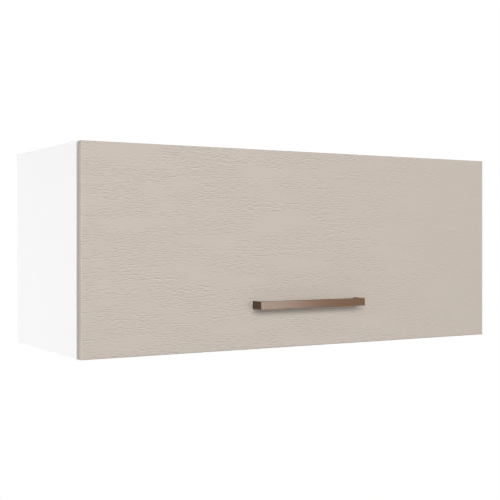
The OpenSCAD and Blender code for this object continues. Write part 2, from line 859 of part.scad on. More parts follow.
module hinge_plate_screws() {
    color(zinc) both_sides() for (step = [-1, 1])
        translate([hinge_x + step * plate_screw_step / 2, plate_screw_y, ceiling_z - plate_t]) wood_screw();
}

module hinge_arm_screws() {
    color(zinc) both_sides() for (y = arm_screw_ys)
        translate([hinge_x, y, arm_low_z])
            screw(screw_d, channel_t + arm_screw_grip, screw_head_d, screw_head_t);
}

// ---- Lift units ----

// Outline of the housing in [y, z], grown by grow on every side
module housing_outline(grow) {
    translate([housing_y0 - grow, housing_z0 - grow])
        rounded_box(housing_len + 2 * grow, housing_h + 2 * grow, housing_r + grow, housing_r + grow);
}

module lift_housing() {
    difference() {
        plate_yz(housing_x, housing_t) housing_outline(0);
        rod_x([housing_x - past, axle_y, axle_z], spring_d + 2 * slide_gap, past + housing_t - housing_floor);
        rod_x([housing_x, axle_y, axle_z], axle_d + 2 * seat_fit, housing_t + past);
        rod_x([housing_x - past, force_screw_y, force_screw_z],
              force_screw_d + 2 * seat_fit, past + housing_t - housing_floor);
        for (spot = lift_screw_spots) {
            rod_x([housing_x - past, spot[0], spot[1]],
                  screw_head_d + 2 * screw_play, past + housing_t - housing_floor);
            rod_x([housing_x, spot[0], spot[1]], screw_d + 2 * screw_play, housing_t + past);
        }
    }
}

module left_lift_housing() {
    color(plastic_grey) on_side("left") lift_housing();
}

module right_lift_housing() {
    color(plastic_grey) on_side("right") lift_housing();
}

// The torsion spring's coils, wound close, in their pocket
module lift_spring() {
    difference() {
        rod_x([coil_x, axle_y, axle_z], spring_d, pocket_end_x - coil_x);
        rod_x([coil_x - past, axle_y, axle_z], spring_in_d, housing_t);
    }
}

module left_lift_spring() {
    color(spring_steel) on_side("left") lift_spring();
}

module right_lift_spring() {
    color(spring_steel) on_side("right") lift_spring();
}

// Axle from the side panel through hub and lever, with a head outside the lever
module lift_axle() {
    rod_x([lever_x - slide_gap, axle_y, axle_z], axle_d, side_x - lever_x + slide_gap);
    pin_head([lever_x - slide_gap, axle_y, axle_z], axle_head_d, -1);
}

module left_lift_axle() {
    color(nickel) on_side("left") lift_axle();
}

module right_lift_axle() {
    color(nickel) on_side("right") lift_axle();
}

// Screws that set the springs, each under a hole in its cap
module force_screws() {
    color(zinc) both_sides() difference() {
        rod_x([coil_x, force_screw_y, force_screw_z], force_screw_d, pocket_end_x - coil_x);
        translate([coil_x, force_screw_y, force_screw_z]) rotate([0, -90, 0]) cross_slot(force_screw_d);
    }
}

// Cap: a shallow shell over the housing, with holes for the lever's hub and the force screw
module lift_cap() {
    difference() {
        plate_yz(cap_x, cap_t + cap_skirt) housing_outline(cap_t + seat_fit);
        plate_yz(housing_x, cap_skirt + past) housing_outline(seat_fit);
        rod_x([cap_x - past, axle_y, axle_z], hub_d + 2 * slide_gap, cap_t + 2 * past);
        rod_x([cap_x - past, force_screw_y, force_screw_z],
              force_screw_d + 2 * slide_gap, cap_t + 2 * past);
        plate_yz(cap_x - past, past + cap_line)
            difference() {
                housing_outline(-cap_line_inset);
                housing_outline(-cap_line_inset - cap_line);
            }
    }
}

module left_lift_cap() {
    color(white) on_side("left") lift_cap();
}

module right_lift_cap() {
    color(white) on_side("right") lift_cap();
}

// Lever with the hub that winds the spring
module lever() {
    difference() {
        union() {
            plate_yz(lever_x, lever_t)
                bar_between([axle_y, axle_z], [elbow_y, elbow_z], lever_r, elbow_r);
            rod_x([lever_x, axle_y, axle_z], hub_d, pocket_end_x - slide_gap - lever_x);
        }
        rod_x([lever_x - past, axle_y, axle_z], axle_d + 2 * running_fit, side_x - lever_x);
        rod_x([lever_x - past, elbow_y, elbow_z], link_pin_d + 2 * seat_fit, lever_t + 2 * past);
        plate_yz(lever_x - past, past + flute_depth)
            flute_between([axle_y, axle_z], [elbow_y, elbow_z], lever_r, elbow_r);
    }
}

module left_lever() {
    color(zinc) on_side("left") lever();
}

module right_lever() {
    color(zinc) on_side("right") lever();
}

// Rivet through lever and link, with a head on each side
module elbow_pin() {
    rod_x([link_x - slide_gap, elbow_y, elbow_z], link_pin_d, 2 * lever_t + 2 * slide_gap);
    pin_head([link_x - slide_gap, elbow_y, elbow_z], link_pin_head_d, -1);
    pin_head([lever_x + lever_t, elbow_y, elbow_z], link_pin_head_d, 1);
}

module left_elbow_pin() {
    color(nickel) on_side("left") elbow_pin();
}

module right_elbow_pin() {
    color(nickel) on_side("right") elbow_pin();
}

module link() {
    difference() {
        plate_yz(link_x, lever_t)
            bar_between([elbow_y, elbow_z], [pivot_y, pivot_z], elbow_r, eye_r);
        rod_x([link_x - past, elbow_y, elbow_z], link_pin_d + 2 * running_fit, lever_t + 2 * past);
        rod_x([link_x - past, pivot_y, pivot_z], link_pin_d + 2 * eye_fit, lever_t + 2 * past);
        plate_yz(link_x - past, past + flute_depth)
            flute_between([elbow_y, elbow_z], [pivot_y, pivot_z], elbow_r, eye_r);
    }
}

module left_link() {
    color(zinc) on_side("left") link();
}

module right_link() {
    color(zinc) on_side("right") link();
}

// Bracket on the back of the door: a plate with an ear on each side of the link
module door_bracket() {
    difference() {
        union() {
            translate([link_mid_x - bracket_w / 2, door_back_y + bracket_t, pivot_z - bracket_h / 2])
                rotate([90, 0, 0]) linear_extrude(bracket_t)
                rounded_box(bracket_w, bracket_h, bracket_r, bracket_r);
            for (x = [clevis_x, clevis_x + clevis_w - bracket_t])
                plate_yz(x, bracket_t) {
                    translate([pivot_y, pivot_z]) circle(eye_r);
                    translate([door_back_y + bracket_t / 2, pivot_z - eye_r])
                        square([pivot_reach - bracket_t / 2, 2 * eye_r]);
                }
        }
        rod_x([clevis_x - past, pivot_y, pivot_z], link_pin_d + 2 * seat_fit, clevis_w + 2 * past);
        for (step = [-1, 1])
            rod_front([link_mid_x, door_back_y + bracket_t + past, pivot_z + step * bracket_screw_step / 2],
                      screw_d + 2 * screw_play, bracket_t + 2 * past);
    }
}

module left_door_bracket() {
    color(nickel) on_side("left") door_bracket();
}

module right_door_bracket() {
    color(nickel) on_side("right") door_bracket();
}

module bracket_pins() {
    color(zinc) both_sides() {
        rod_x([clevis_x, pivot_y, pivot_z], link_pin_d, clevis_w);
        pin_head([clevis_x, pivot_y, pivot_z], link_pin_head_d, -1);
        pin_head([clevis_x + clevis_w, pivot_y, pivot_z], link_pin_head_d, 1);
    }
}

module bracket_screws() {
    color(zinc) both_sides() for (step = [-1, 1])
        translate([link_mid_x, door_back_y + bracket_t, pivot_z + step * bracket_screw_step / 2])
            rotate([90, 0, 0]) wood_screw();
}

module lift_screws() {
    color(zinc) both_sides() for (spot = lift_screw_spots)
        translate([pocket_end_x, spot[0], spot[1]]) rotate([0, 90, 0]) wood_screw();
}

// ---- Hangers ----

module hanger() {
    difference() {
        union() {
            block([hanger_x, hanger_y0, hanger_z0], [side_x, back_front_y, hanger_z1]);
            for (z = peg_zs) rod_x([side_x - past, hanger_mid_y, z], peg_d, past + peg_len);
        }
        // Slot of the hook, open at the back
        block([hook_x - seat_fit, hook_start_y - seat_fit, hook_z0 - seat_fit],
              [hook_x + hook_t + seat_fit, back_front_y + past, hook_z1 + seat_fit]);
        for (z = adjuster_zs)
            rod_front([adjuster_x, hanger_y0 + adjuster_len, z],
                      adjuster_d + 2 * seat_fit, adjuster_len + past);
    }
}

module left_hanger() {
    color(white) on_side("left") hanger();
}

module right_hanger() {
    color(white) on_side("right") hanger();
}

// Hook: its bar runs back through the back panel, and its tip hangs behind the wall plate's lip
module hanger_hook() {
    plate_yz(hook_x, hook_t)
        polygon([
            [hook_start_y, hook_z0],
            [hook_start_y, hook_z1],
            [hook_end_y, hook_z1],
            [hook_end_y, hook_z0 - hook_tip],
            [tip_front_y, hook_z0 - hook_tip],
            [tip_front_y, hook_z0]
        ]);
}

module left_hanger_hook() {
    color(nickel) on_side("left") hanger_hook();
}

module right_hanger_hook() {
    color(nickel) on_side("right") hanger_hook();
}

module hanger_screws() {
    color(zinc) both_sides() for (z = adjuster_zs) difference() {
        rod_front([adjuster_x, hanger_y0 + adjuster_len, z], adjuster_d, adjuster_len);
        translate([adjuster_x, hanger_y0, z]) rotate([90, 0, 0]) cross_slot(adjuster_d);
    }
}

// Cap over the front, the inner side, the top and the bottom of a hanger, with holes for its screws
module hanger_cap() {
    grow = hanger_cap_t + seat_fit;
    difference() {
        translate([hanger_x - grow, hanger_y0 - grow, hanger_z0 - grow])
            linear_extrude(hanger_h + 2 * grow)
            difference() {
                square([hanger_t + grow, hanger_w + grow]);
                corner_waste(hanger_cap_r);
            }
        block([hanger_x - seat_fit, hanger_y0 - seat_fit, hanger_z0 - seat_fit],
              [side_x + past, back_front_y + past, hanger_z1 + seat_fit]);
        for (z = adjuster_zs)
            rod_front([adjuster_x, hanger_y0 + past, z], adjuster_d + 2 * slide_gap, grow + 2 * past);
    }
}

module left_hanger_cap() {
    color(white) on_side("left") hanger_cap();
}

module right_hanger_cap() {
    color(white) on_side("right") hanger_cap();
}

// ---- Wall plates ----

// Bent steel plate: its foot lies on the wall and its lip stands off it
module wall_plate() {
    difference() {
        plate_yz(wall_plate_x0, wall_plate_w)
            polygon([
                [0, web_z1],
                [0, web_z1 - wall_plate_t - foot_h],
                [-wall_plate_t, web_z1 - wall_plate_t - foot_h],
                [-wall_plate_t, web_z1 - wall_plate_t],
                [-lip_reach, web_z1 - wall_plate_t],
                [-lip_reach, lip_top_z],
                [-lip_reach + wall_plate_t, lip_top_z],
                [-lip_reach + wall_plate_t, web_z1]
            ]);
        for (step = [-1, 1])
            rod_front([wall_plate_mid_x + step * wall_hole_step / 2, past, wall_hole_z],
                      wall_hole_d, wall_plate_t + 2 * past);
    }
}

module left_wall_plate() {
    color(zinc) on_side("left") wall_plate();
}

module right_wall_plate() {
    color(zinc) on_side("right") wall_plate();
}

left_side_panel();
right_side_panel();
top_panel();
bottom_panel();
back_panel();
edge_bands();
cam_locks();
cam_bolts();
dowels();
cam_caps();
door_panel();
door_buffers();
handle();
handle_screws();
left_hinge_cup();
right_hinge_cup();
left_hinge_arm();
right_hinge_arm();
left_hinge_plate();
right_hinge_plate();
hinge_pins();
hinge_cup_screws();
hinge_plate_screws();
hinge_arm_screws();
left_lift_housing();
right_lift_housing();
left_lift_spring();
right_lift_spring();
left_lift_axle();
right_lift_axle();
force_screws();
left_lift_cap();
right_lift_cap();
left_lever();
right_lever();
left_elbow_pin();
right_elbow_pin();
left_link();
right_link();
left_door_bracket();
right_door_bracket();
bracket_pins();
bracket_screws();
lift_screws();
left_hanger();
right_hanger();
left_hanger_hook();
right_hanger_hook();
hanger_screws();
left_hanger_cap();
right_hanger_cap();
left_wall_plate();
right_wall_plate();
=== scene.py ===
import json
import math
import bpy
import bmesh
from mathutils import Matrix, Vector


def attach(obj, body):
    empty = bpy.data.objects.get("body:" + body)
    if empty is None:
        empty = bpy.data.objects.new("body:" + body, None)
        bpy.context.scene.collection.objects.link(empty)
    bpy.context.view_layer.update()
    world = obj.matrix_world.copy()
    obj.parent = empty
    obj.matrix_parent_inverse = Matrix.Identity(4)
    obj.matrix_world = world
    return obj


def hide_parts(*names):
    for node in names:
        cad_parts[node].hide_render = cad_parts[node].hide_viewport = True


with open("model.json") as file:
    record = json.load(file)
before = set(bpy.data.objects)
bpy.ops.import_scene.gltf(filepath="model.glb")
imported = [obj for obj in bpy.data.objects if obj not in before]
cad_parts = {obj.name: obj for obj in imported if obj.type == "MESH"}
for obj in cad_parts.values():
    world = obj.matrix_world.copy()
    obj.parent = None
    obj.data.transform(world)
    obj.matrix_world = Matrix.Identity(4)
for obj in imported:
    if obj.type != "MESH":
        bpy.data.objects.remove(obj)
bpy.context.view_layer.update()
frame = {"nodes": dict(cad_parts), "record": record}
nodes = frame["nodes"]
print("Frame loaded:", len(nodes), "CAD nodes")


# Helpers that any node tree uses


def addNode(tree, kind, inputs=None, **options):
    # Adds a node. Its inputs take values, or sockets to link
    node = tree.nodes.new(kind)
    for name, value in options.items():
        setattr(node, name, value)
    for name, value in (inputs or {}).items():
        if isinstance(value, bpy.types.NodeSocket):
            tree.links.new(value, node.inputs[name])
        else:
            node.inputs[name].default_value = value
    return node


def mathNode(tree, operation, a, b=None, c=None, clamp=False):
    values = {i: v for i, v in enumerate((a, b, c)) if v is not None}
    return addNode(tree, "ShaderNodeMath", values, operation=operation, use_clamp=clamp).outputs[0]


def splitVector(tree, vector):
    return addNode(tree, "ShaderNodeSeparateXYZ", {0: vector}).outputs


def joinVector(tree, x=0.0, y=0.0, z=0.0):
    return addNode(tree, "ShaderNodeCombineXYZ", {0: x, 1: y, 2: z}).outputs[0]


def camelName(name):
    # cam_caps becomes camCaps
    first, *others = name.split("_")
    return first + "".join(word.title() for word in others)


# Camera

camera = {
    "place": (-0.9324, -1.7127, 0.1808),
    "tilt": 90,             # degrees up from straight down
    "turn": -30.377,        # degrees, negative to the right of straight ahead
    "lens": 71.95,
    "shiftY": -0.0224,
    "clipStart": 0.05,
}


def addCamera(s):
    data = bpy.data.cameras.new("camera")
    data.lens = s["lens"]
    data.shift_y = s["shiftY"]
    data.clip_start = s["clipStart"]
    obj = bpy.data.objects.new("camera", data)
    obj.location = s["place"]
    obj.rotation_euler = (math.radians(s["tilt"]), 0, math.radians(s["turn"]))
    bpy.context.scene.collection.objects.link(obj)
    bpy.context.scene.camera = obj


addCamera(camera)
print("Camera placed")


# Light, background and floor

studio = {
    "white": (1, 1, 1, 1),
    "whiteLevel": 1.0,          # what the camera sees of the background
    "worldLevel": 0.20,         # what the background lights the object with
    "floorHeight": -0.9,
    "floorHalf": 14.0,
    "floorColor": (0.78, 0.78, 0.78, 1),
    "floorBounce": (0.42, 0.42, 0.42, 1),    # what the floor throws back at the object
    "floorGlow": 0.42,
    "floorClear": (0.9, 2.3),     # the floor turns into plain background between these distances
    # name: place, target, width, height, watts
    "lamps": {
        "key": ((-0.72, -2.95, 1.08), (0.0, -0.3, 0.16), 2.9, 0.9, 62.1),
        "glint": ((1.16, -2.95, 0.03), (0.0, -0.33, 0.08), 0.9, 0.7, 14),
        "leftFill": ((-2.1, 0.0, 0.02), (-0.4, -0.15, 0.14), 1.8, 1.4, 22.0),
        "rightFill": ((3.0, 0.3, 0.3), (0.4, -0.1, 0.16), 2.2, 2.4, 34),
        "backFill": ((0.6, 3.2, 0.2), (0.0, 0.0, 0.16), 3.6, 2.0, 62),
        "topFill": ((0.0, 0.2, 3.0), (0.0, -0.15, 0.3), 3.0, 2.0, 19),
    },
}


def rayMask(tree):
    # 1 for camera, glossy and transmission rays
    rays = addNode(tree, "ShaderNodeLightPath").outputs
    seen = mathNode(tree, "MAXIMUM", rays["Is Camera Ray"], rays["Is Glossy Ray"])
    return mathNode(tree, "MAXIMUM", seen, rays["Is Transmission Ray"])


def mixShader(tree, factor, first, second):
    return addNode(tree, "ShaderNodeMixShader", {0: factor, 1: first, 2: second}).outputs[0]


def setWorld(s):
    world = bpy.data.worlds.new("studio")
    world.use_nodes = True
    tree = world.node_tree
    tree.nodes.clear()
    dim = addNode(tree, "ShaderNodeBackground", {"Color": s["white"], "Strength": s["worldLevel"]})
    plain = addNode(tree, "ShaderNodeBackground",
                    {"Color": s["white"], "Strength": s["whiteLevel"]})
    mix = mixShader(tree, rayMask(tree), dim.outputs[0], plain.outputs[0])
    addNode(tree, "ShaderNodeOutputWorld", {"Surface": mix})
    bpy.context.scene.world = world


def addLamp(name, place, target, width, height, watts):
    data = bpy.data.lights.new(name, "AREA")
    data.shape = "RECTANGLE"
    data.size = width
    data.size_y = height
    data.energy = watts
    obj = bpy.data.objects.new(name, data)
    obj.location = place
    obj.rotation_euler = (Vector(target) - Vector(place)).to_track_quat("-Z", "Y").to_euler()
    obj.visible_camera = False
    bpy.context.scene.collection.objects.link(obj)


def makeFloorMaterial(s):
    # The camera sees a pale floor that clears to the background; the object gets a dim bounce
    material = bpy.data.materials.new("floor")
    material.use_nodes = True
    tree = material.node_tree
    tree.nodes.clear()
    matt = addNode(tree, "ShaderNodeBsdfDiffuse", {"Color": s["floorColor"]}).outputs[0]
    glow = addNode(tree, "ShaderNodeEmission",
                   {"Color": s["white"], "Strength": s["floorGlow"]}).outputs[0]
    near = addNode(tree, "ShaderNodeAddShader", {0: matt, 1: glow}).outputs[0]
    far = addNode(tree, "ShaderNodeEmission",
                  {"Color": s["white"], "Strength": s["whiteLevel"]}).outputs[0]
    bounce = addNode(tree, "ShaderNodeBsdfDiffuse", {"Color": s["floorBounce"]}).outputs[0]
    spot = addNode(tree, "ShaderNodeTexCoord").outputs["Object"]
    level = addNode(tree, "ShaderNodeVectorMath", {0: spot, 1: (1, 1, 0)}, operation="MULTIPLY")
    reach = addNode(tree, "ShaderNodeVectorMath", {0: level.outputs[0]}, operation="LENGTH")
    start, end = s["floorClear"]
    clear = addNode(tree, "ShaderNodeMapRange", {"Value": reach.outputs["Value"],
                                                 "From Min": start, "From Max": end},
                    interpolation_type="SMOOTHSTEP")
    seen = mixShader(tree, clear.outputs[0], near, far)
    mix = mixShader(tree, rayMask(tree), bounce, seen)
    addNode(tree, "ShaderNodeOutputMaterial", {"Surface": mix})
    return material


def addFloor(s):
    half, z = s["floorHalf"], s["floorHeight"]
    corners = [(-half, -half, z), (half, -half, z), (half, half, z), (-half, half, z)]
    mesh = bpy.data.meshes.new("floor")
    mesh.from_pydata(corners, [], [(0, 1, 2, 3)])
    mesh.materials.append(makeFloorMaterial(s))
    obj = bpy.data.objects.new("floor", mesh)
    bpy.context.scene.collection.objects.link(obj)


setWorld(studio)
for lampName, lampValues in studio["lamps"].items():
    addLamp(lampName, *lampValues)
addFloor(studio)
bpy.context.scene.view_settings.view_transform = "Standard"
print("Studio lit")


# Shader groups that several materials use

patterns = {
    "skinDetail": 3.0,
    "skinRoughness": 0.55,
    "patchDetail": 2.0,
    "lineDetail": 3.0,
    "gritScale": 3.0,           # how much finer the grit is than the chips
    "gritDetail": 4.0,
    "gritRoughness": 0.7,
    "gritShare": 0.6,
    "chipShare": 0.45,
}


def newGroup(name, inputs, outputs):
    # inputs: name -> default (a number, or None for a vector); all outputs are numbers
    tree = bpy.data.node_groups.new(name, "ShaderNodeTree")
    for key, value in inputs.items():
        kind = "NodeSocketVector" if value is None else "NodeSocketFloat"
        socket = tree.interface.new_socket(key, in_out="INPUT", socket_type=kind)
        if value is not None:
            socket.default_value = value
    for key in outputs:
        tree.interface.new_socket(key, in_out="OUTPUT", socket_type="NodeSocketFloat")
    return tree, addNode(tree, "NodeGroupInput").outputs, addNode(tree, "NodeGroupOutput").inputs


def useGroup(tree, group, inputs):
    return addNode(tree, "ShaderNodeGroup", inputs, node_tree=group).outputs


def stretchedNoise(tree, vector, scale, detail, roughness=0.5):
    # Noise on a vector that is scaled by another one
    scaled = addNode(tree, "ShaderNodeVectorMath", {0: vector, 1: scale}, operation="MULTIPLY")
    noise = addNode(tree, "ShaderNodeTexNoise", {"Vector": scaled.outputs[0], "Scale": 1.0,
                                                 "Detail": detail, "Roughness": roughness})
    return noise.outputs[0]


def fade(tree, value, low, high, to0=0.0, to1=1.0):
    # Turns low..high into to0..to1, clamped
    return addNode(tree, "ShaderNodeMapRange", {"Value": value, "From Min": low, "From Max": high,
                                                "To Min": to0, "To Max": to1}).outputs[0]


def makeFineNoise(s):
    # Fine pebbled skin of a moulded, coated or laminated surface, with broad patches
    tree, given, out = newGroup("fineNoise", {"Vector": None, "Scale": 900.0, "Patches": 12.0},
                                ("Height", "Patch"))
    fine = addNode(tree, "ShaderNodeTexNoise",
                   {"Vector": given["Vector"], "Scale": given["Scale"],
                    "Detail": s["skinDetail"], "Roughness": s["skinRoughness"]})
    patch = addNode(tree, "ShaderNodeTexNoise",
                    {"Vector": given["Vector"], "Scale": given["Patches"],
                     "Detail": s["patchDetail"]})
    tree.links.new(fine.outputs[0], out["Height"])
    tree.links.new(patch.outputs[0], out["Patch"])
    return tree


def makeBrushed(s):
    # Fine parallel lines along X, as on brushed or drawn metal
    tree, given, out = newGroup("brushed", {"Vector": None, "Along": 14.0, "Across": 1400.0},
                                ("Line",))
    scale = joinVector(tree, given["Along"], given["Across"], given["Across"])
    line = stretchedNoise(tree, given["Vector"], scale, s["lineDetail"])
    tree.links.new(line, out["Line"])
    return tree


def makeCoreChips(s):
    # Pressed chips or fibres of a raw board edge: Size is the length of a chip
    tree, given, out = newGroup("coreChips", {"Vector": None, "Size": 0.004}, ("Tone", "Height"))
    scale = mathNode(tree, "DIVIDE", 1.0, given["Size"])
    cell = addNode(tree, "ShaderNodeTexVoronoi",
                   {"Vector": given["Vector"], "Scale": scale, "Randomness": 1.0})
    tone = addNode(tree, "ShaderNodeSeparateColor", {0: cell.outputs["Color"]}).outputs[0]
    finer = mathNode(tree, "MULTIPLY", scale, s["gritScale"])
    grit = addNode(tree, "ShaderNodeTexNoise",
                   {"Vector": given["Vector"], "Scale": finer,
                    "Detail": s["gritDetail"], "Roughness": s["gritRoughness"]}).outputs[0]
    mixed = mathNode(tree, "MULTIPLY_ADD", tone, s["chipShare"],
                     mathNode(tree, "MULTIPLY", grit, s["gritShare"]))
    tree.links.new(mixed, out["Tone"])
    tree.links.new(mathNode(tree, "SUBTRACT", grit, cell.outputs["Distance"]), out["Height"])
    return tree


fineNoise = makeFineNoise(patterns)
brushed = makeBrushed(patterns)
coreChips = makeCoreChips(patterns)
print("Shader groups built")


# Materials. Settings that begin with a capital are sockets of the shader itself


def newMaterial(name, s):
    material = bpy.data.materials.new(name)
    material.use_nodes = True
    tree = material.node_tree
    tree.nodes.clear()
    own = {key: value for key, value in s.items() if key[0].isupper()}
    shader = addNode(tree, "ShaderNodeBsdfPrincipled", own)
    addNode(tree, "ShaderNodeOutputMaterial", {"Surface": shader.outputs[0]})
    return material, tree, shader, addNode(tree, "ShaderNodeTexCoord").outputs


def addSkin(tree, spots, s):
    return useGroup(tree, fineNoise, {"Vector": spots["Object"], "Scale": s["scale"],
                                      "Patches": s["patches"]})


def mixColor(tree, factor, a, b):
    return addNode(tree, "ShaderNodeMix", {0: factor, 6: a, 7: b}, data_type="RGBA").outputs[2]


def bump(tree, shader, height, depth):
    node = addNode(tree, "ShaderNodeBump", {"Distance": depth, "Height": height})
    tree.links.new(node.outputs[0], shader.inputs["Normal"])


def feed(tree, shader, color, roughness=None):
    tree.links.new(color, shader.inputs["Base Color"])
    if roughness is not None:
        tree.links.new(roughness, shader.inputs["Roughness"])


whites = {"color": (0.905, 0.905, 0.900, 1), "low": (0.890, 0.891, 0.888, 1)}
alongAxis = 0.7         # a face looks along an axis when its normal reaches this far on it

melamine = {
    **whites,
    "Roughness": 0.48,
    "Specular IOR Level": 0.25,
    "scale": 650.0,
    "patches": 9.0,
    "depth": 0.00004,
    "sideX": 0.38405,           # boards beyond this are the two sides
    "chipLight": (0.62, 0.47, 0.31, 1),
    "chipDark": (0.30, 0.20, 0.115, 1),
    "chipSize": 0.0015,
    "chipRoughness": 0.85,
    "chipRelief": 6.0,          # how deep the chips are against the skin
}


def makeMelamine(s):
    # White melamine, with raw chips on the rear edges and on the sides' upper edges
    material, tree, shader, spots = newMaterial("whiteBoard", s)
    skin = addSkin(tree, spots, s)
    facing = splitVector(tree, spots["Normal"])
    place = splitVector(tree, spots["Object"])
    rear = mathNode(tree, "GREATER_THAN", facing[1], alongAxis)
    onSide = mathNode(tree, "GREATER_THAN", mathNode(tree, "ABSOLUTE", place[0]), s["sideX"])
    upward = mathNode(tree, "GREATER_THAN", facing[2], alongAxis)
    raw = mathNode(tree, "MAXIMUM", rear, mathNode(tree, "MULTIPLY", upward, onSide))
    chips = useGroup(tree, coreChips, {"Vector": spots["Object"], "Size": s["chipSize"]})
    smooth = mixColor(tree, skin["Patch"], s["low"], s["color"])
    core = mixColor(tree, chips["Tone"], s["chipDark"], s["chipLight"])
    feed(tree, shader, mixColor(tree, raw, smooth, core),
         fade(tree, raw, 0.0, 1.0, s["Roughness"], s["chipRoughness"]))
    relief = mathNode(tree, "MULTIPLY", raw, chips["Height"])
    height = mathNode(tree, "MULTIPLY_ADD", relief, s["chipRelief"], skin["Height"])
    bump(tree, shader, height, s["depth"])
    return material


hardboard = {
    **whites,
    "Roughness": 0.5,
    "Specular IOR Level": 0.35,
    "scale": 420.0,
    "patches": 7.0,
    "depth": 0.00006,
    "frontFace": -0.5,          # the lacquered face looks forward, below this on Y
    "fibreLight": (0.36, 0.235, 0.135, 1),
    "fibreDark": (0.24, 0.15, 0.08, 1),
    "fibreSize": 0.0016,
    "fibreRoughness": 0.8,
}


def makeHardboard(s):
    # White lacquer in front, bare fibres behind
    material, tree, shader, spots = newMaterial("whiteBack", s)
    skin = addSkin(tree, spots, s)
    facing = splitVector(tree, spots["Normal"])
    front = mathNode(tree, "LESS_THAN", facing[1], s["frontFace"])
    fibres = useGroup(tree, coreChips, {"Vector": spots["Object"], "Size": s["fibreSize"]})
    lacquer = mixColor(tree, skin["Patch"], s["low"], s["color"])
    bare = mixColor(tree, fibres["Tone"], s["fibreDark"], s["fibreLight"])
    feed(tree, shader, mixColor(tree, front, bare, lacquer),
         fade(tree, front, 0.0, 1.0, s["fibreRoughness"], s["Roughness"]))
    bump(tree, shader, skin["Height"], s["depth"])
    return material


foil = {
    "Roughness": 0.72,
    "Specular IOR Level": 0.15,
    "dark": (0.422, 0.372, 0.324, 1),       # the shaded wall of a pore
    "light": (0.706, 0.634, 0.566, 1),      # its lit wall; the face lies half way between the two
    # painted shade on the door's edges: a darker colour where the foil turns away from the front
    "edge": (0.402, 0.381, 0.332, 1),
    "back": (0.610, 0.565, 0.500, 1),
    "backFace": 0.5,                    # the back looks to the rear, above this on Y
    "frontY": -0.3085,
    "edgeTurn": (0.35, 0.99),           # a face's turn where the painted edge shade starts and is full
    "edgeDeep": (0.001, 0.011),         # behind the front, where that painted shade starts and is full
    # how much of the painted edge shade there is right at the front
    "edgeStart": 0.25,
    "levelEdge": 0.6,                   # how much of the painted edge shade the upper and lower edges take
    "waveLong": (4.0, 9.0, 0.0),        # waves per metre along the grain and across it
    "waveLongDetail": 1.0,
    "waveLongSize": 0.030,
    "waveShort": (17.0, 30.0, 0.0),
    "waveShortDetail": 2.0,
    "waveShortSize": 0.0042,
    "poreScale": (88.0, 640.0, 0.0),
    "poreDetail": 2.0,
    "poreRoughness": 0.6,
    "poreLevels": (0.50, 0.64),         # noise where a pore starts and where it is deepest
    "lineScale": (9.0, 460.0, 0.0),
    "lineDetail": 1.0,
    "lineLevels": (0.56, 0.68),
    "lineShare": 0.4,
    "patchScale": (8.0, 40.0, 0.0),
    "patchDetail": 2.0,
    "patchLevels": (0.38, 0.50),
    "patchLow": 0.10,                   # what is left of the grain between its patches
    "poreStep": 0.0012,                 # from a pore's shaded wall to its lit one
    "contrast": 1.04,
    "litShare": 0.55,                   # how strong the lit walls are against the shaded ones
    "calmX": (0.05, 0.34),              # the grain grows calmer between these places on X
    "calmShare": 0.45,
    "depth": 0.00014,
}


